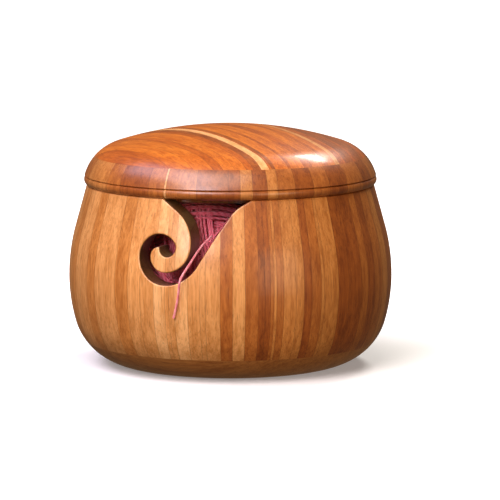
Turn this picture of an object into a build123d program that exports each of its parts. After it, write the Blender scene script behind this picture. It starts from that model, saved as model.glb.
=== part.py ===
from build123d import *
import os
from math import atan2, cos, degrees, pi, radians, sin, sqrt, tan

# A turned wooden yarn bowl with a lid, a ball of yarn in it and the end of its strand
# over the slot. Millimetres, +Z up, the foot on Z = 0 and the turning axis on Z. The
# yarn slot faces -Y.

# ---------------------------------------------------------------- driving dimensions
# the bowl's side, from the belly up and down
BELLY_R = 77.5  # widest radius, so 155 mm across
BELLY_Z = 43.0
RIM_Z = 86.5  # where the lid rests
WALL = 10.0
UPPER_ARC_R = 90.0
UPPER_TURN = 15.5  # degrees of that arc, then the wall runs straight to the rim
LOWER_ARC_R = 79.0
LOWER_TURN = 16.0  # degrees of that arc, then the foot's own arc
BASE_TOP_Z = 11.7  # glue line between the base disc and the staves
RIM_ROUND = 1.0
SLOT_ROUND = 0.8  # sanded outer edges of the slot

STAVES = 32
STAVE_PHASE = 2.5  # degrees from -Y towards +X of one stave joint

# the slot, drawn in X and Z and cut straight through the front wall along Y
CHANNEL = 5.8  # width of the curled channel
LOBE = (0.9, 65.0)  # centre of the hook's large lobe
LOBE_R = 14.9  # the channel's middle line round the lobe
BELLY_TURN_R = 10.65  # then round the belly of the hook
CURL_R = 6.85  # then round its curl
HOLE_R = 4.0  # round hole that ends the curl
HOLE_AT = 38.0  # degrees round the curl where the hole leaves it
LEAF_R = 19.8  # edge of the leaf above the lobe
LEAF_TURN = 56.0  # degrees of that edge, then it runs straight to the rim
FAR_EDGE_SLOPE = 62.0  # degrees, the edge of the mouth opposite the leaf
FLARE_Z = 79.0  # where that edge starts to flare out
FLARE_R = 14.0
FLARE_SLOPE = 35.0
PAST_RIM = 10.0  # how far the cutter stands above the rim

# the lid
TOP_Z = 115.0
CROWN_R = 183.0
CROWN_TURN = 17.5  # degrees, then the shoulder's arc
SHOULDER_R = 22.4
LID_WALL = 9.0
DOME_SEAM_Z = 100.3  # glue line between the lid's ring and its dome board
GROOVE_Z = 90.9  # fine groove above the bead at the lid's edge
GROOVE_DEPTH = 0.8
GROOVE_HALF = 0.45
BEAD_R = 70.1
BEAD_Z = 88.8
LID_FOOT_R = 68.2
SPIGOT_R = 57.8  # the lip that drops into the bowl
SPIGOT_DEPTH = 2.5
LID_HOLLOW_R = 53.8
HOLLOW_ROUND = 6.0
RING_SEGMENTS = 12
RING_PHASE = -1.9  # degrees from -Y towards +X of one ring joint
DOME_STRIPS = 9
DOME_STRIP_TURN = 60.0  # degrees from +Y towards -X, the way the strips run

# the ball of yarn, and the end of its strand
BALL_R = 43.0
BALL_Y = -17.5
BALL_GAP = 0.3
STRAND_D = 1.2
STRAND_ROUTE = [
    (15.8, -56.3, 68.5),
    (15.1, -62.9, 66.2),
    (14.2, -69.8, 62.2),
    (13.0, -74.0, 57.8),
    (11.4, -77.2, 54.0),
    (10.6, -80.7, 50.4),
    (9.2, -78.7, 43.6),
    (7.7, -78.2, 37.3),
    (6.3, -77.8, 32.4),
]
BEND_SHARE = 0.45  # share of the shorter run that an arc takes up

REACH = 120.0  # past every surface of the bowl
CLOSE = 0.01  # two places this near are the same

os.makedirs("parts", exist_ok=True)


# ---------------------------------------------------------------- outlines
def polar(centre, radius, angle):
    """The point at an angle, from the outline's first axis, on a circle."""
    turn = radians(angle)
    return (centre[0] + radius * cos(turn), centre[1] + radius * sin(turn))


def arc(centre, radius, start, end):
    """An arc from one angle to another, in either direction."""
    middle = polar(centre, radius, (start + end) / 2)
    return ThreePointArc(polar(centre, radius, start), middle, polar(centre, radius, end))


def bowl_side(inset):
    """The bowl's side from the foot to the rim, moved inwards by inset: its edges, the
    radius of the flat under it and its point at the rim."""
    lower_centre = (BELLY_R - LOWER_ARC_R, BELLY_Z)
    upper_centre = (BELLY_R - UPPER_ARC_R, BELLY_Z)
    turn_point = polar(lower_centre, LOWER_ARC_R, -LOWER_TURN)
    foot_arc_r = turn_point[1] / (1 - sin(radians(LOWER_TURN)))
    foot_centre = polar(turn_point, -foot_arc_r, -LOWER_TURN)
    arc_top = polar(upper_centre, UPPER_ARC_R - inset, UPPER_TURN)
    rim = (arc_top[0] - (RIM_Z - arc_top[1]) * tan(radians(UPPER_TURN)), RIM_Z)
    edges = [
        arc(foot_centre, foot_arc_r - inset, -90, -LOWER_TURN),
        arc(lower_centre, LOWER_ARC_R - inset, -LOWER_TURN, 0),
        arc(upper_centre, UPPER_ARC_R - inset, 0, UPPER_TURN),
        Line(arc_top, rim),
    ]
    return edges, foot_centre[0], rim


def bowl_section():
    """Half of the hollow bowl's section."""
    outside, foot_r, outer_rim = bowl_side(0)
    inside, _, inner_rim = bowl_side(WALL)
    closing = [
        Line((0, 0), (foot_r, 0)),
        Line(outer_rim, inner_rim),
        Line((foot_r, WALL), (0, WALL)),
        Line((0, WALL), (0, 0)),
    ]
    return make_face(Curve() + outside + inside + closing)


def half_wall_section():
    """Half of a full section out to the middle of the wall's thickness."""
    side, foot_r, rim = bowl_side(WALL / 2)
    closing = [
        Line((0, WALL / 2), (foot_r, WALL / 2)),
        Line(rim, (0, RIM_Z)),
        Line((0, RIM_Z), (0, WALL / 2)),
    ]
    return make_face(Curve() + side + closing)


def hook_tip(curl, inner_r, hole):
    """The tip of the hook, where the inside of the curl meets the end hole."""
    across = sqrt((hole[0] - curl[0]) ** 2 + (hole[1] - curl[1]) ** 2)
    along = (across**2 + inner_r**2 - HOLE_R**2) / (2 * across)
    off = sqrt(inner_r**2 - along**2)
    way = ((hole[0] - curl[0]) / across, (hole[1] - curl[1]) / across)
    return (
        curl[0] + along * way[0] - off * way[1],
        curl[1] + along * way[1] + off * way[0],
    )


def angle_on(centre, point):
    """The angle at which a point lies on a circle about centre."""
    return degrees(atan2(point[1] - centre[1], point[0] - centre[0]))


def slot_outline():
    """The slot as one closed outline: the leaf's edge down from the rim, round the hook
    to its tip, round the end hole, back along the outside of the channel and up the far
    edge of the mouth."""
    half = CHANNEL / 2
    above = RIM_Z + PAST_RIM
    belly = (LOBE[0], LOBE[1] - LOBE_R + BELLY_TURN_R)
    curl = (belly[0] - BELLY_TURN_R + CURL_R, belly[1])
    hole = polar(curl, CURL_R + half - HOLE_R, HOLE_AT)
    tip = hook_tip(curl, CURL_R - half, hole)

    leaf = (LOBE[0] + LOBE_R - half - LEAF_R, LOBE[1])
    leaf_top = polar(leaf, LEAF_R, LEAF_TURN)
    leaf_run = (above - leaf_top[1]) * tan(radians(LEAF_TURN))
    leaf_end = (leaf_top[0] - leaf_run, above)

    far_turn = 270 + FAR_EDGE_SLOPE
    far_low = polar(LOBE, LOBE_R + half, far_turn)
    far_run = (FLARE_Z - far_low[1]) / tan(radians(FAR_EDGE_SLOPE))
    far_high = (far_low[0] + far_run, FLARE_Z)
    flare = polar(far_high, FLARE_R, FAR_EDGE_SLOPE - 90)
    flare_end = polar(flare, FLARE_R, FLARE_SLOPE + 90)
    flare_run = (above - flare_end[1]) / tan(radians(FLARE_SLOPE))
    far_end = (flare_end[0] + flare_run, above)

    return [
        Line(leaf_end, leaf_top),
        arc(leaf, LEAF_R, LEAF_TURN, 0),
        arc(LOBE, LOBE_R - half, 0, -90),
        arc(belly, BELLY_TURN_R - half, -90, -180),
        arc(curl, CURL_R - half, 180, angle_on(curl, tip)),
        arc(hole, HOLE_R, angle_on(hole, tip), 360 + HOLE_AT),
        arc(curl, CURL_R + half, HOLE_AT, 180),
        arc(belly, BELLY_TURN_R + half, 180, 270),
        arc(LOBE, LOBE_R + half, 270, far_turn),
        Line(far_low, far_high),
        arc(flare, FLARE_R, FAR_EDGE_SLOPE + 90, FLARE_SLOPE + 90),
        Line(flare_end, far_end),
        Line(far_end, leaf_end),
    ]


def lid_section():
    """Half of the lid's section: crown, shoulder, groove, bead, the lip that drops into
    the bowl, and the hollow."""
    crown = (0, TOP_Z - CROWN_R)
    shoulder_top = polar(crown, CROWN_R, 90 - CROWN_TURN)
    shoulder = polar(shoulder_top, -SHOULDER_R, 90 - CROWN_TURN)
    drop = GROOVE_Z + GROOVE_HALF - shoulder[1]
    shoulder_turn = degrees(atan2(drop, sqrt(SHOULDER_R**2 - drop**2)))
    shoulder_end = polar(shoulder, SHOULDER_R, shoulder_turn)
    groove = (shoulder_end[0] - GROOVE_DEPTH, GROOVE_Z)
    bead_top = (shoulder_end[0], GROOVE_Z - GROOVE_HALF)
    foot = (LID_FOOT_R, RIM_Z)
    inner_crown_r = CROWN_R - LID_WALL
    hollow_top = (LID_HOLLOW_R, crown[1] + sqrt(inner_crown_r**2 - LID_HOLLOW_R**2))
    lip_z = RIM_Z - SPIGOT_DEPTH
    outline = [
        arc(crown, CROWN_R, 90, 90 - CROWN_TURN),
        arc(shoulder, SHOULDER_R, 90 - CROWN_TURN, shoulder_turn),
        Line(shoulder_end, groove),
        Line(groove, bead_top),
        ThreePointArc(bead_top, (BEAD_R, BEAD_Z), foot),
        Line(foot, (SPIGOT_R, RIM_Z)),
        Line((SPIGOT_R, RIM_Z), (SPIGOT_R, lip_z)),
        Line((SPIGOT_R, lip_z), (LID_HOLLOW_R, lip_z)),
        Line((LID_HOLLOW_R, lip_z), hollow_top),
        arc(crown, inner_crown_r, angle_on(crown, hollow_top), 90),
        Line((0, TOP_Z - LID_WALL), (0, TOP_Z)),
    ]
    face = make_face(Curve() + outline)
    corner = face.vertices().sort_by_distance(hollow_top)[0]
    return fillet(corner, HOLLOW_ROUND)


# ---------------------------------------------------------------- tools for cutting up
def turned(section):
    """The solid that a half section makes when it turns about Z."""
    return revolve(Plane.XZ * section, Axis.Z)


def slab(low, high):
    """Everything near the object between two heights."""
    size = 2 * REACH
    return Pos(0, 0, (low + high) / 2) * Box(size, size, high - low)


def wedge(start, turn):
    """A sector of the space about Z, from an angle from -Y towards +X, turn degrees
    wide."""
    rays = [polar((0, 0), REACH, start - 90 + share * turn) for share in (0, 0.5, 1)]
    return extrude(make_face(Polyline((0, 0), *rays, close=True)), REACH)


def board_strip(low, high):
    """A band across the object between two offsets, running the way the dome's strips
    run."""
    size = 2 * REACH
    return Rot(0, 0, DOME_STRIP_TURN) * Pos((low + high) / 2, 0, 0) * Box(high - low, size, size)


def save(solids, node):
    """Writes one node's solids."""
    shape = solids[0] if len(solids) == 1 else Compound(children=solids)
    export_step(shape, f"parts/{node}.step")


# ---------------------------------------------------------------- the bowl
def slotted_bowl():
    """The whole turned bowl, slotted, with the slot's outer edges and the rim rounded."""
    prism = extrude(Plane.XZ.offset(BELLY_R / 2) * make_face(Curve() + slot_outline()), REACH)
    bowl = turned(bowl_section()) - prism
    outline = Wire(slot_outline())
    half_wall = turned(half_wall_section()).solid()

    def on_slot(edge):
        ends = [edge @ share for share in (0, 0.25, 0.5, 0.75, 1)]
        flat = [Vector(p.X, p.Z) for p in ends]
        along_y = (flat[2] - flat[0]).length + (flat[4] - flat[2]).length < CLOSE
        traced = all(outline.distance_to(p) < CLOSE for p in flat)
        return traced and not along_y and ends[2].Y < 0 and not half_wall.is_inside(ends[2])

    def on_rim(edge):
        level = all(abs((edge @ share).Z - RIM_Z) < CLOSE for share in (0, 0.5, 1))
        return level and edge.geom_type == GeomType.CIRCLE

    bowl = fillet([e for e in bowl.edges() if on_slot(e)], SLOT_ROUND)
    return fillet([e for e in bowl.edges() if on_rim(e)], RIM_ROUND)


def make_bowl():
    """The base disc, and the staves of the wall. The slot parts three staves, and what
    it leaves above its channel are the pieces of the leaf and its hook."""
    bowl = slotted_bowl()
    save([(bowl & slab(0, BASE_TOP_Z)).solid()], "base_disc")
    wall = bowl & slab(BASE_TOP_Z, TOP_Z)
    turn = 360 / STAVES
    leaf_pieces = []
    for i in range(STAVES):
        found = (wall & wedge(STAVE_PHASE + i * turn, turn)).solids().sort_by(Axis.Z)
        save([found[0]], f"wall_stave_{i + 1:02d}")
        leaf_pieces += found[1:]
    leaf_pieces.sort(key=lambda s: (s.center().X > LOBE[0] + CHANNEL / 2, -s.center().Z))
    names = ("leaf_stave_left", "hook_stave", "leaf_stave_right")
    for node, piece in zip(names, leaf_pieces, strict=True):
        save([piece], node)


# ---------------------------------------------------------------- the lid
def make_lid():
    """The lid's ring of segments, with the bead and the lip, and the dome board's
    strips."""
    lid = turned(lid_section())
    ring = lid & slab(0, DOME_SEAM_Z)
    turn = 360 / RING_SEGMENTS
    for i in range(RING_SEGMENTS):
        segment = ring & wedge(RING_PHASE + i * turn, turn)
        save([segment.solid()], f"lid_ring_segment_{i + 1:02d}")
    board = lid & slab(DOME_SEAM_Z, TOP_Z + 1)
    half = board.bounding_box().size.X / 2
    pitch = 2 * half / DOME_STRIPS
    for i in range(DOME_STRIPS):
        low = -half + i * pitch - (CLOSE if i == 0 else 0)
        high = -half + (i + 1) * pitch + (CLOSE if i == DOME_STRIPS - 1 else 0)
        save([(board & board_strip(low, high)).solid()], f"lid_dome_strip_{i + 1}")


# ---------------------------------------------------------------- the yarn
def make_ball():
    """The ball of yarn on the bowl's floor, close behind the slot."""
    save([(Pos(0, BALL_Y, WALL + BALL_GAP + BALL_R) * Sphere(BALL_R)).solid()], "yarn_ball")


def bend_radii(route):
    """The arc at each corner of a route: as large as its two runs allow."""
    points = [Vector(*p) for p in route]
    radii = []
    for before, here, after in zip(points, points[1:], points[2:]):
        shorter = min((here - before).length, (after - here).length)
        half_turn = radians((here - before).get_angle(after - here)) / 2
        radii.append(BEND_SHARE * shorter / tan(half_turn))
    return radii


def make_strand():
    """The end of the yarn, from the ball over the slot's lower edge and down outside."""
    radii = bend_radii(STRAND_ROUTE)
    path = FilletPolyline(*STRAND_ROUTE, radius=radii)
    start = Plane(origin=path @ 0, z_dir=path % 0)
    tube = sweep(start * Circle(STRAND_D / 2), path=path)
    section = pi * STRAND_D**2 / 4
    print("strand radii", [round(r, 1) for r in radii])
    print("strand length", round(path.length, 2), "volume", round(tube.volume, 3))
    print("section times length", round(section * path.length, 3))
    save([tube.solid()], "yarn_strand")


make_bowl()
make_lid()
make_ball()
make_strand()
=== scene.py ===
import logging
import math
import random
from dataclasses import dataclass, field
from enum import Enum

import bpy
from mathutils import Matrix, Vector


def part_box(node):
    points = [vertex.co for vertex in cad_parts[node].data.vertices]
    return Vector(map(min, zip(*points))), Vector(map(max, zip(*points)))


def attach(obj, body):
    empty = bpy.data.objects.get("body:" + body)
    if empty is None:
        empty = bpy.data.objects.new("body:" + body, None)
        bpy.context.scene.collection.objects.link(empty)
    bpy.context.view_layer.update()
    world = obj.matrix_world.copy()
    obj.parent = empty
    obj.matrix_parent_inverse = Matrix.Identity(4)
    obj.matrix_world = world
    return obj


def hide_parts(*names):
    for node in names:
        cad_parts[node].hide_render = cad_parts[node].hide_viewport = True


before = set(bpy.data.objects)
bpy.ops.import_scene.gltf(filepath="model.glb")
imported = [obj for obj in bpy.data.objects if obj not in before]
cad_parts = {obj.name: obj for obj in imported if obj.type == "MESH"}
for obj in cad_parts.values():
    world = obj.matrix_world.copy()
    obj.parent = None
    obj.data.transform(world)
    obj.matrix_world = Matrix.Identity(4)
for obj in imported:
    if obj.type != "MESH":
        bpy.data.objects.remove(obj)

log = logging.getLogger("yarn_bowl")
MM = 0.001  # metres in a millimetre
Colour = tuple[float, float, float]


def srgb(red: int, green: int, blue: int) -> Colour:
    """A colour from its 0 to 255 values, as the linear values that shaders take."""
    shares = [value / 255 for value in (red, green, blue)]
    return tuple(s / 12.92 if s <= 0.04045 else ((s + 0.055) / 1.055) ** 2.4 for s in shares)


# ---------------------------------------------------------------- shader building
class Reading:
    """A number that varies over a surface, for writing shader maths as expressions."""

    def __init__(self, paint: "Paint", socket: bpy.types.NodeSocket) -> None:
        """Wraps one output socket of a paint's node tree."""
        self.paint = paint
        self.socket = socket

    def _maths(self, operation: str, first: object, second: object = None) -> "Reading":
        """Adds one Math node.

        Args:
            operation: The node's operation.
            first: A number or a reading for its first input.
            second: The same for its second input, or None.

        Returns:
            The node's result.
        """
        values = {0: first} if second is None else {0: first, 1: second}
        return self.paint.reading("ShaderNodeMath", {"operation": operation}, values)

    def __add__(self, other: object) -> "Reading":
        """Sum."""
        return self._maths("ADD", self, other)

    __radd__ = __add__

    def __sub__(self, other: object) -> "Reading":
        """Difference."""
        return self._maths("SUBTRACT", self, other)

    def __rsub__(self, other: object) -> "Reading":
        """Difference from a plain number."""
        return self._maths("SUBTRACT", other, self)

    def __mul__(self, other: object) -> "Reading":
        """Product."""
        return self._maths("MULTIPLY", self, other)

    __rmul__ = __mul__

    def __truediv__(self, other: object) -> "Reading":
        """Quotient."""
        return self._maths("DIVIDE", self, other)

    def __abs__(self) -> "Reading":
        """Size without sign."""
        return self._maths("ABSOLUTE", self)

    def sine(self) -> "Reading":
        """Sine of an angle in radians."""
        return self._maths("SINE", self)

    def at_most(self, limit: object) -> "Reading":
        """The smaller of this and a limit."""
        return self._maths("MINIMUM", self, limit)

    def at_least(self, limit: object) -> "Reading":
        """The larger of this and a limit."""
        return self._maths("MAXIMUM", self, limit)

    def clamped(self) -> "Reading":
        """This, held between 0 and 1."""
        return self.at_least(0.0).at_most(1.0)

    def past(self, edge: float, softness: float) -> "Reading":
        """0 below an edge and 1 above it, over a width of softness."""
        return ((self - edge) / softness + 0.5).clamped()


class Paint:
    """One node-based material while it is being built."""

    def __init__(self, name: str) -> None:
        """Starts an empty material with a surface shader."""
        self.material = bpy.data.materials.new(name)
        self.material.use_nodes = True
        self.tree = self.material.node_tree
        self.tree.nodes.clear()
        self.shader = self.node("ShaderNodeBsdfPrincipled")
        output = self.node("ShaderNodeOutputMaterial")
        self.tree.links.new(self.shader.outputs[0], output.inputs["Surface"])

    def node(
        self,
        kind: str,
        settings: dict[str, object] | None = None,
        values: dict[object, object] | None = None,
    ) -> bpy.types.Node:
        """Adds a node.

        Args:
            kind: The node's type.
            settings: Its properties, set first.
            values: Numbers, colours or links for its inputs, by name or number.

        Returns:
            The node.
        """
        made = self.tree.nodes.new(kind)
        for key, setting in (settings or {}).items():
            setattr(made, key, setting)
        for key, value in (values or {}).items():
            self.feed(made.inputs[key], value)
        return made

    def feed(self, socket: bpy.types.NodeSocket, value: object) -> None:
        """Links a reading or a socket to an input, or sets a plain value on it.

        Args:
            socket: The input.
            value: A reading, an output socket, a number, a vector or a colour.
        """
        if isinstance(value, Reading):
            self.tree.links.new(value.socket, socket)
        elif isinstance(value, bpy.types.NodeSocket):
            self.tree.links.new(value, socket)
        elif isinstance(value, tuple) and socket.type == "RGBA":
            socket.default_value = (*value, 1.0)
        else:
            socket.default_value = value

    def reading(
        self,
        kind: str,
        settings: dict[str, object] | None = None,
        values: dict[object, object] | None = None,
    ) -> Reading:
        """Adds a node and wraps its first output."""
        return Reading(self, self.node(kind, settings, values).outputs[0])

    def place(self) -> tuple[Reading, Reading, Reading]:
        """The surface's own X, Y and Z, in metres."""
        where = self.node("ShaderNodeTexCoord").outputs["Object"]
        parts = self.node("ShaderNodeSeparateXYZ", None, {0: where})
        return tuple(Reading(self, out) for out in parts.outputs)

    def vector(self, x: object, y: object, z: object) -> Reading:
        """A vector from three numbers or readings."""
        return self.reading("ShaderNodeCombineXYZ", None, {0: x, 1: y, 2: z})

    def noise(self, where: Reading, scale: float, detail: float = 3.0, roughness: float = 0.55) -> Reading:
        """Smooth noise from 0 to 1 over a vector."""
        values = {"Vector": where, "Scale": scale, "Detail": detail, "Roughness": roughness}
        return self.reading("ShaderNodeTexNoise", None, values)

    def mix(self, factor: object, first: object, second: object) -> Reading:
        """A blend of two colours, each a plain colour or a reading, by a factor."""
        made = self.node("ShaderNodeMix", {"data_type": "RGBA"}, {0: factor, 6: first, 7: second})
        return Reading(self, made.outputs[2])

    def shade(self, colour: Reading, amount: Reading) -> Reading:
        """A colour made darker or lighter.

        Args:
            colour: The colour.
            amount: What each of its channels is multiplied by.

        Returns:
            The new colour.
        """
        grey = self.node("ShaderNodeCombineColor", None, {0: amount, 1: amount, 2: amount}).outputs[0]
        settings = {"data_type": "RGBA", "blend_type": "MULTIPLY", "clamp_result": False}
        made = self.node("ShaderNodeMix", settings, {0: 1.0, 6: colour, 7: grey})
        return Reading(self, made.outputs[2])

    def bump(self, height: Reading, strength: float, distance: float) -> Reading:
        """A surface normal raised by a height reading."""
        values = {"Height": height, "Strength": strength, "Distance": distance}
        return self.reading("ShaderNodeBump", None, values)


# ---------------------------------------------------------------- wood
class Tone(Enum):
    """The tones of wood that the bowl is glued up from, each as the lighter and the
    darker colour of its grain."""

    PALE = (srgb(238, 180, 118), srgb(212, 147, 82))
    STRAW = (srgb(222, 157, 92), srgb(190, 123, 60))
    HONEY = (srgb(205, 134, 66), srgb(170, 100, 40))
    AMBER = (srgb(186, 110, 46), srgb(150, 79, 26))
    RUSSET = (srgb(164, 88, 32), srgb(126, 60, 17))
    UMBER = (srgb(140, 70, 24), srgb(100, 45, 12))
    FLAME = (srgb(210, 118, 36), srgb(174, 86, 18))
    COPPER = (srgb(186, 96, 28), srgb(148, 69, 14))


@dataclass(frozen=True)
class Lacquer:
    """The satin lacquer over all the wood."""

    roughness: float = 0.34
    coat: float = 0.30
    coat_roughness: float = 0.17
    reflection: float = 0.45
    dulled_by_figure: float = 0.10
    dulled_by_pores: float = 0.15


@dataclass(frozen=True)
class Lumber:
    """Glued strips of wood with their grain running one way, under lacquer.

    Its noises are stretched along the grain: the broad figure, the fibres, the flecks
    and the pores. Scales are in waves to the metre.
    """

    lacquer: Lacquer = Lacquer()
    squash_along: float = 0.045
    fleck_squash: float = 0.28
    figure_scale: float = 300.0
    figure_weight: float = 2.5
    fibre_scale: float = 1250.0
    fibre_weight: float = 1.6
    fleck_scale: float = 620.0
    fleck_weight: float = 1.3
    middle: float = 0.8
    cloud_scale: float = 22.0
    cloud_depth: float = 0.32
    pore_scale: float = 2600.0
    pore_edge: float = 0.64
    pore_depth: float = 0.26
    glue_width: float = 0.22 * MM
    glue_depth: float = 0.38
    base_tint: float = 0.82
    # How far the painted shade darkens the slot's cut faces, for the shadow that they stand in.
    painted_cut_shade_depth: float = 0.84
    relief: float = 0.22
    relief_height: float = 0.12 * MM

    def finish(
        self,
        paint: Paint,
        tones: list[Tone],
        cuts: list[Reading],
        edges: list[Reading],
        grain: tuple[Reading, Reading, Reading],
        seed: float,
        depth: float = 1.0,
        painted_cut_shade: Reading | None = None,
    ) -> None:
        """Colours a paint as glued strips under lacquer.

        Args:
            paint: The material to fill in.
            tones: The strips' tones, in order.
            cuts: Signed distances, in metres, from each joint between two of the strips.
            edges: Distances from the joints with the next pieces.
            grain: Two readings across the grain and one along it.
            seed: Moves the pattern, so that no two pieces are cut from the same spot.
            depth: How light the whole piece is, 1 for as its tones say.
            painted_cut_shade: 1 where painted shade darkens a cut face of the slot, for the shadow that it
                stands in, or None.
        """
        sides = [cut.past(0.0, self.glue_width * 0.6) for cut in cuts]
        light, dark = tones[0].value
        for side, tone in zip(sides, tones[1:]):
            light = paint.mix(side, light, tone.value[0])
            dark = paint.mix(side, dark, tone.value[1])
        shift: object = seed
        for number, side in enumerate(sides):
            shift = side * (0.31 + 0.17 * number) + shift
        first, second, along = grain
        where = paint.vector(first + shift, second, along * self.squash_along + shift)
        figure = paint.noise(where, self.figure_scale, 4.0, 0.6)
        fibre = paint.noise(where, self.fibre_scale, 2.0, 0.5)
        pores = paint.noise(where, self.pore_scale, 1.0, 0.4).past(self.pore_edge, 0.08)
        fleck_place = paint.vector(first + shift, second, along * self.fleck_squash + shift)
        fleck = paint.noise(fleck_place, self.fleck_scale, 2.0, 0.6)
        cloud_place = paint.vector(first, second + shift, along)
        cloud = paint.noise(cloud_place, self.cloud_scale, 2.0, 0.5)
        mixing = figure * self.figure_weight - self.middle
        mixing = mixing + (fibre - 0.5) * self.fibre_weight
        mixing = (mixing + (fleck - 0.5) * self.fleck_weight).clamped()
        glue = self.glue_lines([abs(cut) for cut in cuts] + edges)
        tint = self.base_tint + cloud * self.cloud_depth - pores * self.pore_depth
        relief = fibre * 0.35 - pores * 0.5
        if glue is not None:
            tint = tint - glue * self.glue_depth
            relief = relief - glue * 0.8
        tint = tint * depth
        # Painted shade: the slot's cut faces are darkened for the shadow inside the slot.
        if painted_cut_shade is not None:
            tint = tint * (1.0 - painted_cut_shade * self.painted_cut_shade_depth)
        inputs = paint.shader.inputs
        paint.feed(inputs["Base Color"], paint.shade(paint.mix(mixing, light, dark), tint))
        dulled = figure * self.lacquer.dulled_by_figure + pores * self.lacquer.dulled_by_pores
        paint.feed(inputs["Roughness"], dulled + self.lacquer.roughness)
        paint.feed(inputs["Normal"], paint.bump(relief, self.relief, self.relief_height))
        inputs["Coat Weight"].default_value = self.lacquer.coat
        inputs["Coat Roughness"].default_value = self.lacquer.coat_roughness
        inputs["Specular IOR Level"].default_value = self.lacquer.reflection

    def glue_lines(self, distances: list[Reading]) -> Reading | None:
        """The thin dark lines of glue between strips.

        Args:
            distances: How far the surface is from each joint.

        Returns:
            1 on a joint and 0 away from it, or None where there are no joints.
        """
        glue = None
        for distance in distances:
            near = (1.0 - distance / self.glue_width).clamped()
            glue = near if glue is None else near.at_least(glue)
        return glue


def dress(node: str, paint: Paint) -> None:
    """Gives a CAD node its material in place of the plain one.

    Args:
        node: The node's name.
        paint: The finished material.
    """
    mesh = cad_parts[node].data
    if len(mesh.materials):
        mesh.materials[0] = paint.material
    else:
        mesh.materials.append(paint.material)


@dataclass(frozen=True)
class Strips:
    """Strips of wood side by side, as (where one starts, its tone), in order. A strip
    that shows by less than the least width is left out."""

    starts: tuple[tuple[float, Tone], ...]
    least: float = 0.35

    def between(self, low: float, high: float) -> tuple[list[Tone], list[float]]:
        """The strips that show between two places.

        Args:
            low: The first place.
            high: The second place.

        Returns:
            The tones in order, and where each one after the first starts.
        """
        tones, cuts = [self.starts[0][1]], []
        for start, tone in self.starts:
            if start <= low + self.least:
                tones = [tone]
            elif start < high - self.least:
                tones.append(tone)
                cuts.append(start)
        return tones, cuts


@dataclass
class UprightWork:
    """Pieces glued edge to edge round the turning axis, each cut from a few strips."""

    lumber: Lumber
    strips: Strips
    phase: float
    turn: float
    rim: float = 86.5 * MM

    def plane(self, x: Reading, y: Reading, degrees: float) -> Reading:
        """How far a place lies past the upright plane at an angle from -Y towards +X."""
        angle = math.radians(degrees)
        return x * math.cos(angle) + y * math.sin(angle)

    def cut_face(self, paint: Paint, x: Reading, y: Reading, z: Reading) -> Reading:
        """Finds the faces that the slot's cutter left, below the rim, which are given painted shade.

        Args:
            paint: The material.
            x: The surface's own X.
            y: Its Y.
            z: Its Z.

        Returns:
            1 where the surface is cut across the wall, and 0 on its outside and inside.
        """
        facing = paint.node("ShaderNodeNewGeometry").outputs["True Normal"]
        parts = paint.node("ShaderNodeSeparateXYZ", None, {0: facing})
        across, back = (Reading(paint, out) for out in parts.outputs[:2])
        level = paint.vector(x, y, 0.0)
        spread = paint.node("ShaderNodeVectorMath", {"operation": "NORMALIZE"}, {0: level})
        ways = paint.node("ShaderNodeSeparateXYZ", None, {0: spread.outputs["Vector"]})
        out_x, out_y = (Reading(paint, out) for out in ways.outputs[:2])
        outward = abs(across * out_x + back * out_y)
        below_rim = 1.0 - z.past(self.rim - 0.5 * MM, 0.5 * MM)
        return (1.0 - outward.past(0.55, 0.35)) * below_rim

    def paint_piece(
        self, name: str, number: int, depth: float = 1.0, cut: bool = False
    ) -> Paint:
        """Makes one piece's material.

        Args:
            name: The material's name.
            number: Which piece round the axis, from 0.
            depth: How light it is, 1 for as its tones say.
            cut: Whether the slot is cut through it, so that its cut faces get painted shade.

        Returns:
            The finished paint.
        """
        paint = Paint(name)
        x, y, z = paint.place()
        # Painted shade for the slot's cut faces, which stand in shadow inside the slot.
        painted_cut_shade = self.cut_face(paint, x, y, z) if cut else None
        start = self.phase + number * self.turn
        if start + self.turn / 2 > 180:
            start -= 360
        tones, angles = self.strips.between(start, start + self.turn)
        cuts = [self.plane(x, y, angle) for angle in angles]
        edges = [abs(self.plane(x, y, start)), abs(self.plane(x, y, start + self.turn))]
        seed = 0.137 * number + 0.05
        self.lumber.finish(paint, tones, cuts, edges, (x, y, z), seed, depth, painted_cut_shade)
        return paint


# ---------------------------------------------------------------- the bowl and its lid
P, S, H, A, R, U, F, C = Tone  # each tone by its initial, for the layouts below


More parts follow.
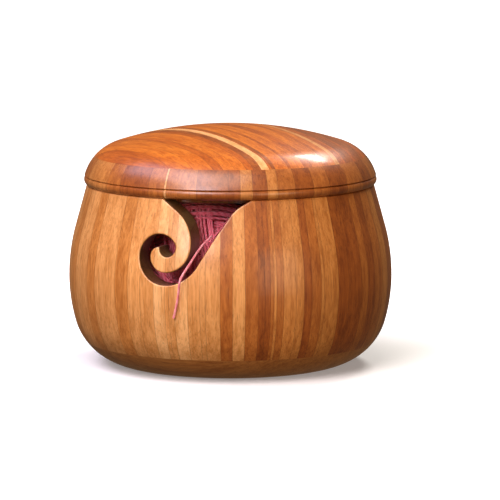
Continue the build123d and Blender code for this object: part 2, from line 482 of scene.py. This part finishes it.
@dataclass
class Bowl:
    """The base disc and the wall's staves, with the leaf and hook that the slot leaves.

    The strips start at degrees from -Y towards +X.
    """

    strips: Strips = Strips((
        (-180, H), (-172, R), (-165, A), (-158, U), (-152, H), (-143, R), (-138, S), (-129, A),
        (-121, R), (-115, A), (-108, H), (-98, A), (-90, H), (-81, A), (-76, H), (-66, S), (-54, H),
        (-47, S), (-37, H), (-31, S), (-20, H), (-14, S), (-3.3, P), (1.0, S), (4.7, P), (9.3, S),
        (15.6, S), (20.7, A), (25.0, S), (29.4, A), (34.0, R), (38.2, A), (39.4, H), (40.4, A), (43.0, H),
        (50.6, R), (53.6, A), (57.5, H), (65.0, R), (77.0, A), (81.5, R), (86.0, A), (93, H), (99, R),
        (106, A), (115, U), (121, A), (129, H), (135, R), (144, A), (151, H), (158, U), (166, A), (173, R),
    ))
    stave_count: int = 32
    first: float = 2.5
    turn: float = 11.25
    slotted: tuple[int, ...] = (0, 1, 2, 30, 31)
    parts_by_slot: tuple[tuple[str, int], ...] = (
        ("leaf_stave_left", 31),
        ("leaf_stave_right", 0),
        ("hook_stave", 31),
    )
    base_lumber: Lumber = Lumber(squash_along=0.05)
    base_seed: float = 4.1
    base_depth: float = 0.88

    def dress(self) -> None:
        """Dresses the base disc, every stave and the pieces above the slot's channel."""
        work = UprightWork(Lumber(), self.strips, self.first, self.turn)
        for number in range(self.stave_count):
            node = f"wall_stave_{number + 1:02d}"
            dress(node, work.paint_piece(node, number, cut=number in self.slotted))
        for node, number in self.parts_by_slot:
            dress(node, work.paint_piece(node, number, cut=True))
        dress("base_disc", self.paint_base())
        log.info("bowl: %d staves, %d slot parts, base", self.stave_count, len(self.parts_by_slot))

    def paint_base(self) -> Paint:
        """The base board, with its grain level."""
        paint = Paint("base_board")
        x, y, z = paint.place()
        grain = (y, z, x)
        self.base_lumber.finish(paint, [H], [], [], grain, self.base_seed, self.base_depth)
        return paint


@dataclass
class Lid:
    """The lid's ring of upright segments and the dome board's level strips.

    The ring's strips start at degrees from -Y towards +X, and the board's at
    millimetres from its middle.
    """

    ring_strips: Strips = Strips((
        (-180, A), (-172, R), (-160, H), (-152, A), (-140, R), (-131, A), (-122, U), (-114, A),
        (-100, H), (-84, A), (-70, H), (-62, A), (-50, H), (-31.9, A), (-23.3, R), (-9, A), (-1.9, P),
        (-1.1, A), (11.2, R), (23.5, R), (28.1, H), (32.8, R), (38.6, H), (42.8, A), (50, R), (58, A),
        (66, R), (76, A), (88, R), (97, A), (109, U), (118, R), (131, A), (142, R), (154, H), (163, A),
        (172, R),
    ))
    segment_count: int = 12
    first: float = -1.9
    turn: float = 30.0
    board_turn: float = 60.0
    board_strips: Strips = Strips((
        (-70, C), (-57, F), (-44, C), (-40.5, F), (-31.5, C), (-28.5, R), (-25.2, P), (-21.8, C),
        (-20.3, R), (-18.8, F), (-12.5, C), (-11, F), (-4, C), (0.5, F), (8.5, C), (10.5, F),
        (15.5, S), (18.5, C), (23.5, R), (30, C), (33, R), (41, C), (49, R), (58, C),
    ), 0.5)
    strip_count: int = 9
    ring_lumber: Lumber = Lumber(Lacquer(coat=0.65, coat_roughness=0.24))
    ring_depth: float = 0.95
    board_lumber: Lumber = Lumber(squash_along=0.06)

    def dress(self) -> None:
        """Dresses the ring's segments and the dome's strips."""
        work = UprightWork(self.ring_lumber, self.ring_strips, self.first, self.turn)
        for number in range(self.segment_count):
            node = f"lid_ring_segment_{number + 1:02d}"
            dress(node, work.paint_piece(node, number, self.ring_depth))
        for number in range(self.strip_count):
            dress(f"lid_dome_strip_{number + 1}", self.paint_strip(number))
        log.info("lid: %d ring segments, %d dome strips", self.segment_count, self.strip_count)

    def paint_strip(self, number: int) -> Paint:
        """Makes one dome strip's material, with the grain along the strip.

        Args:
            number: Which strip across the board, from 0.

        Returns:
            The finished paint.
        """
        paint = Paint(f"lid_dome_strip_{number + 1}")
        x, y, z = paint.place()
        turn = math.radians(self.board_turn)
        across = x * math.cos(turn) + y * math.sin(turn)
        along = y * math.cos(turn) - x * math.sin(turn)
        radius = self.board_radius()
        pitch = 2 * radius / self.strip_count
        start = -radius + number * pitch
        tones, places = self.board_strips.between(start / MM, (start + pitch) / MM)
        cuts = [across - place * MM for place in places]
        edges = [abs(across - start), abs(across - (start + pitch))]
        grain = (across, z, along)
        self.board_lumber.finish(paint, tones, cuts, edges, grain, 0.41 * number)
        return paint

    def board_radius(self) -> float:
        """The dome board's radius, from its strips' own boxes."""
        return max(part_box(f"lid_dome_strip_{n + 1}")[1].x for n in range(self.strip_count))


# ---------------------------------------------------------------- the yarn
@dataclass(frozen=True)
class Cotton:
    """Plied cotton yarn: two strands twisted together, soft and matt."""

    light: Colour = srgb(255, 142, 160)
    dark: Colour = srgb(204, 66, 88)
    fuzz_scale: float = 2400.0
    patch_scale: float = 90.0
    relief: float = 0.6
    relief_height: float = 0.25 * MM
    sheen: float = 0.35
    sheen_roughness: float = 0.5
    reflection: float = 0.2

    def paint(self, name: str, twists: float, lean: float) -> Paint:
        """A yarn material that follows the piece's UV map.

        Args:
            name: The material's name.
            twists: How many times the plies turn along the map's length.
            lean: How many turns they make round the strand's girth.

        Returns:
            The finished paint.
        """
        paint = Paint(name)
        unwrapped = paint.node("ShaderNodeTexCoord").outputs["UV"]
        parts = paint.node("ShaderNodeSeparateXYZ", None, {0: unwrapped})
        length, girth = (Reading(paint, out) for out in parts.outputs[:2])
        ply = ((length * twists + girth * lean) * math.tau).sine() * 0.5 + 0.5
        where = paint.vector(*paint.place())
        fuzz = paint.noise(where, self.fuzz_scale, 3.0, 0.6)
        patch = paint.noise(where, self.patch_scale, 2.0, 0.5)
        mixing = (ply * 0.5 + fuzz * 0.35 + patch * 0.35 - 0.1).clamped()
        relief = ply * 0.8 + fuzz * 0.4
        inputs = paint.shader.inputs
        paint.feed(inputs["Base Color"], paint.mix(mixing, self.dark, self.light))
        paint.feed(inputs["Roughness"], fuzz * 0.2 + 0.75)
        paint.feed(inputs["Normal"], paint.bump(relief, self.relief, self.relief_height))
        inputs["Sheen Weight"].default_value = self.sheen
        inputs["Sheen Roughness"].default_value = self.sheen_roughness
        inputs["Specular IOR Level"].default_value = self.reflection
        return paint


def deselect() -> None:
    """Leaves nothing selected, so that an operator acts only on new work."""
    if bpy.context.mode != "OBJECT":
        bpy.ops.object.mode_set(mode="OBJECT")
    bpy.ops.object.select_all(action="DESELECT")


def join(pieces: list[bpy.types.Object], name: str) -> bpy.types.Object:
    """Joins meshes into one named piece at the origin.

    Args:
        pieces: The meshes' objects.
        name: The piece's name.

    Returns:
        The piece.
    """
    deselect()
    for piece in pieces:
        piece.select_set(True)
    bpy.context.view_layer.objects.active = pieces[0]
    bpy.ops.object.join()
    joined = bpy.context.view_layer.objects.active
    bpy.ops.object.transform_apply(location=True, rotation=True, scale=True)
    joined.name = name
    joined.data.name = name
    return joined


@dataclass
class YarnBall:
    """A hand-wound ball: a core, and bands of wraps laid over each other."""

    strand: float = 1.25 * MM
    wraps_per_band: int = 19
    bands: int = 13
    layer_drop: float = 0.42 * MM
    segments: int = 84
    sides: int = 6
    spacing: float = 1.03
    wander: float = 0.18
    sink: float = 0.30
    wobble: float = 1.6
    lay: float = 3.4 * MM
    core_gap: float = 1.4
    core_dents: float = 0.3 * MM
    seed: int = 7
    outer_turns: tuple[tuple[float, str, float, str], ...] = (
        (18, "Z", -50, "X"),
        (12, "Z", 76, "Y"),
        (28, "X", 38, "Y"),
    )
    centre: Vector = field(init=False)
    radius: float = field(init=False)
    chance: random.Random = field(init=False)

    def build(self) -> None:
        """Models the ball in the space that its plain solid holds."""
        low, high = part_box("yarn_ball")
        self.centre = (low + high) / 2
        self.radius = (high.z - low.z) / 2
        self.chance = random.Random(self.seed)
        twists = round(math.tau * self.radius / self.lay)
        wound = Cotton().paint("wound_yarn", twists, 2.0)
        pieces = [self.make_core()]
        for number, turn in enumerate(self.band_turns()):
            pieces.append(self.make_band(number, turn))
        for piece in pieces:
            piece.data.materials.clear()
            piece.data.materials.append(wound.material)
            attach(piece, "yarn_ball")
            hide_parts("yarn_ball")
            log.info("%s: %d faces", piece.name, len(piece.data.polygons))

    def band_turns(self) -> list[Matrix]:
        """How each band's axis is turned from Z, the top band first."""
        turns = [
            Matrix.Rotation(math.radians(last), 4, last_axis)
            @ Matrix.Rotation(math.radians(first), 4, first_axis)
            for last, last_axis, first, first_axis in self.outer_turns
        ]
        while len(turns) < self.bands:
            spin = Matrix.Rotation(self.chance.uniform(0, math.tau), 4, "Z")
            turns.append(spin @ Matrix.Rotation(math.acos(self.chance.uniform(-1, 1)), 4, "X"))
        return turns

    def make_core(self) -> bpy.types.Object:
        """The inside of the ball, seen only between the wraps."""
        deselect()
        under = self.radius - self.bands * self.layer_drop - self.core_gap * self.strand
        bpy.ops.mesh.primitive_ico_sphere_add(subdivisions=4, radius=under, location=self.centre)
        core = bpy.context.active_object
        bpy.ops.object.mode_set(mode="EDIT")
        bpy.ops.mesh.select_all(action="SELECT")
        bpy.ops.transform.vertex_random(offset=self.core_dents, seed=self.seed)
        bpy.ops.uv.sphere_project()
        bpy.ops.object.mode_set(mode="OBJECT")
        bpy.ops.object.shade_smooth()
        return join([core], "yarn_ball_core")

    def make_wrap(self) -> bpy.types.Object:
        """One wrap of yarn as a ring about Z, which every band copies."""
        deselect()
        bpy.ops.mesh.primitive_torus_add(
            major_radius=1.0,
            minor_radius=0.5 * self.strand / self.radius,
            major_segments=self.segments,
            minor_segments=self.sides,
            generate_uvs=True,
        )
        bpy.ops.object.shade_smooth()
        return bpy.context.active_object

    def make_band(self, number: int, turn: Matrix) -> bpy.types.Object:
        """One band of side by side wraps.

        Args:
            number: The band's place from the top layer, from 0.
            turn: How its axis is turned from Z.

        Returns:
            The band as one piece.
        """
        master = self.make_wrap()
        reach = self.radius - self.strand * 0.5 - number * self.layer_drop
        wraps = []
        for step in range(self.wraps_per_band):
            offset = (step - (self.wraps_per_band - 1) / 2) * self.strand * self.spacing
            offset += self.chance.uniform(-self.wander, self.wander) * self.strand
            lift = self.chance.uniform(-self.sink, 0.0) * self.strand
            size = math.sqrt((reach + lift) ** 2 - offset**2)
            lean = self.chance.uniform(-self.wobble, self.wobble)
            tilt = Matrix.Rotation(math.radians(lean), 4, "X")
            spin = Matrix.Rotation(self.chance.uniform(0, math.tau), 4, "Z")
            wrap = master.copy()
            wrap.data = master.data.copy()
            bpy.context.scene.collection.objects.link(wrap)
            raised = Matrix.Translation((0, 0, offset))
            sized = Matrix.Diagonal((size, size, self.radius, 1.0))
            placed = Matrix.Translation(self.centre) @ turn @ raised
            wrap.data.transform(placed @ tilt @ spin @ sized)
            wraps.append(wrap)
        bpy.data.objects.remove(master)
        return join(wraps, f"yarn_ball_band_{number + 1:02d}")


@dataclass
class Strand:
    """The end of the yarn: out of the ball, over the slot's lower edge and down outside.
    It is three plies twisted together."""

    diameter: float = 1.2 * MM
    length: float = 49.0 * MM
    plies: int = 3
    pitch: float = 4.2 * MM
    ply_share: float = 0.29
    cotton: Cotton = Cotton(srgb(255, 170, 176), srgb(212, 96, 110))
    route: tuple[tuple[float, float, float], ...] = (
        (15.8, -56.3, 68.5),
        (15.1, -62.9, 66.2),
        (14.2, -69.8, 62.2),
        (13.0, -74.0, 57.8),
        (11.4, -77.2, 54.0),
        (10.6, -80.7, 50.4),
        (9.2, -78.7, 43.6),
        (7.7, -78.2, 37.3),
        (6.3, -77.8, 32.4),
    )

    def line(self) -> list[Vector]:
        """Points close together along the route's smooth spline."""
        curve = bpy.data.curves.new("strand_route", "CURVE")
        curve.dimensions = "3D"
        spline = curve.splines.new("NURBS")
        spline.points.add(len(self.route) - 1)
        for point, place in zip(spline.points, self.route):
            point.co = (*(value * MM for value in place), 1.0)
        spline.order_u = 3
        spline.use_endpoint_u = True
        spline.resolution_u = 24
        holder = bpy.data.objects.new("strand_route", curve)
        mesh = bpy.data.meshes.new_from_object(holder)
        found = [vertex.co.copy() for vertex in mesh.vertices]
        bpy.data.objects.remove(holder)
        bpy.data.meshes.remove(mesh)
        return found

    def build(self) -> None:
        line = self.line()
        plies = [self.make_ply(line, number) for number in range(self.plies)]
        piece = join(plies, "strand")
        piece.data.materials.clear()
        piece.data.materials.append(self.cotton.paint("strand_yarn", 9.0, 1.0).material)
        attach(piece, "bowl")
        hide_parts("yarn_strand")
        [value * MM for value in self.route[0]]
        log.info("strand: %d faces", len(piece.data.polygons))

    def make_ply(self, line: list[Vector], number: int) -> bpy.types.Object:
        """One ply, as a tube that winds round the strand's line.

        Args:
            line: Points close together along the strand's middle.
            number: Which ply, from 0.

        Returns:
            The tube's mesh object.
        """
        ply_r = self.diameter * self.ply_share
        out = self.diameter * 0.5 - ply_r
        travelled, points = 0.0, []
        for before, here in zip([line[0]] + line[:-1], line):
            step = here - before
            travelled += step.length
            ahead = step.normalized() if step.length > 0 else line[1] - line[0]
            side = ahead.cross(Vector((1, 0, 0))).normalized()
            up = side.cross(ahead).normalized()
            angle = math.tau * (travelled / self.pitch + number / self.plies)
            points.append(here + out * (math.cos(angle) * side + math.sin(angle) * up))
        curve = bpy.data.curves.new("ply", "CURVE")
        curve.dimensions = "3D"
        curve.bevel_depth = ply_r
        curve.bevel_resolution = 1
        curve.use_fill_caps = True
        spline = curve.splines.new("POLY")
        spline.points.add(len(points) - 1)
        for point, place in zip(spline.points, points):
            point.co = (*place, 1.0)
        ply = bpy.data.objects.new("ply", curve)
        bpy.context.scene.collection.objects.link(ply)
        deselect()
        ply.select_set(True)
        bpy.context.view_layer.objects.active = ply
        bpy.ops.object.convert(target="MESH")
        bpy.ops.object.shade_smooth()
        return bpy.context.active_object


# ---------------------------------------------------------------- the studio
@dataclass(frozen=True)
class Lamp:
    """A softbox, with its azimuth counted from the camera's, towards the right."""

    name: str
    azimuth: float
    elevation: float
    distance: float
    size: tuple[float, float]
    power: float
    colour: Colour


@dataclass
class Studio:
    """The floor, the lights and the camera."""

    lamps: tuple[Lamp, ...] = (
        Lamp("key", -20, 50, 1.1, (0.9, 0.7), 9.0, (1.0, 0.92, 0.82)),
        Lamp("window", -68, 53, 1.2, (1.5, 0.55), 11.0, (0.82, 0.75, 1.0)),
        Lamp("front", -24, 24, 1.2, (0.5, 0.4), 6.8, (1.0, 0.86, 0.92)),
        Lamp("glint", 142, 49, 1.0, (0.34, 0.13), 5.5, (1.0, 0.97, 0.92)),
        Lamp("fill", 34, 6, 1.5, (0.8, 0.6), 5.5, (1.0, 0.80, 0.56)),
    )
    azimuth: float = 24.0
    elevation: float = 7.6
    lens: float = 280.0
    distance: float = 1.869
    aim_side: float = 9.4 * MM
    aim_height: float = 54.4 * MM
    floor_size: float = 16.0
    glow_from: float = 0.07
    glow_width: float = 0.18
    world_colour: Colour = (1.0, 0.72, 0.44)
    world_strength: float = 0.14

    def direction(self, azimuth: float, elevation: float) -> Vector:
        """The way out from the bowl.

        Args:
            azimuth: Degrees about the turning axis, from -Y towards +X.
            elevation: Degrees above level.

        Returns:
            A vector of length 1.
        """
        turn, rise = math.radians(azimuth), math.radians(elevation)
        flat = math.cos(rise)
        return Vector((math.sin(turn) * flat, -math.cos(turn) * flat, math.sin(rise)))

    def build(self) -> None:
        """Makes everything round the object."""
        self.add_camera()
        self.add_floor()
        self.add_world()
        for lamp in self.lamps:
            self.add_light(lamp)

    def add_camera(self) -> None:
        """A long lens at the height of a table top."""
        data = bpy.data.cameras.new("camera")
        data.lens = self.lens
        data.clip_end = 30
        camera = bpy.data.objects.new("camera", data)
        back = self.direction(self.azimuth, self.elevation)
        right = Vector((-back.y, back.x, 0)).normalized()
        aim = Vector((0, 0, self.aim_height)) + right * self.aim_side
        camera.location = aim + back * self.distance
        camera.rotation_euler = back.to_track_quat("Z", "Y").to_euler()
        bpy.context.scene.collection.objects.link(camera)
        bpy.context.scene.camera = camera

    def add_light(self, lamp: Lamp) -> None:
        """Hangs one softbox so that it faces the bowl, as a lamp's sizes say."""
        data = bpy.data.lights.new(lamp.name, "AREA")
        data.shape = "RECTANGLE"
        data.size, data.size_y = lamp.size
        data.energy = lamp.power
        data.color = lamp.colour
        light = bpy.data.objects.new(lamp.name, data)
        way = self.direction(self.azimuth + lamp.azimuth, lamp.elevation)
        light.location = Vector((0, 0, self.aim_height)) + way * lamp.distance
        light.rotation_euler = way.to_track_quat("Z", "Y").to_euler()
        bpy.context.scene.collection.objects.link(light)

    def add_floor(self) -> None:
        """A plain pale floor that glows softly away from the bowl, like a light table."""
        deselect()
        bpy.ops.mesh.primitive_plane_add(size=self.floor_size, location=(0, 0, 0))
        floor = bpy.context.active_object
        floor.name = "floor"
        floor.visible_diffuse = False
        floor.visible_glossy = False
        paint = Paint("floor")
        x, y, z = paint.place()
        grain = paint.noise(paint.vector(x, y, z), 3.0, 2.0, 0.5)
        level = paint.vector(x, y, 0.0)
        length = paint.node("ShaderNodeVectorMath", {"operation": "LENGTH"}, {0: level})
        away = Reading(paint, length.outputs["Value"])
        glow = ((away - self.glow_from) / self.glow_width).clamped() * 0.75 + 0.22
        white = paint.mix(grain, (1.0, 1.0, 1.0), (1.0, 1.0, 1.0))
        pale = paint.mix(grain, (0.80, 0.80, 0.80), (0.84, 0.84, 0.84))
        paint.feed(paint.shader.inputs["Base Color"], pale)
        paint.feed(paint.shader.inputs["Emission Color"], paint.shade(white, glow))
        paint.shader.inputs["Emission Strength"].default_value = 1.0
        paint.shader.inputs["Roughness"].default_value = 0.9
        paint.shader.inputs["Specular IOR Level"].default_value = 0.1
        floor.data.materials.append(paint.material)

    def add_world(self) -> None:
        """Dim even light from all round."""
        world = bpy.data.worlds.new("studio")
        bpy.context.scene.world = world
        world.use_nodes = True
        backdrop = world.node_tree.nodes["Background"]
        backdrop.inputs["Color"].default_value = (*self.world_colour, 1.0)
        backdrop.inputs["Strength"].default_value = self.world_strength
        bpy.context.scene.view_settings.view_transform = "Standard"


def main() -> None:
    """Builds the studio and every piece, in order."""
    logging.basicConfig(level=logging.INFO, format="%(name)s %(message)s")
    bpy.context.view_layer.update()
    Studio().build()
    Strand().build()
    Bowl().dress()
    Lid().dress()
    YarnBall().build()


if __name__ == "__main__":
    main()
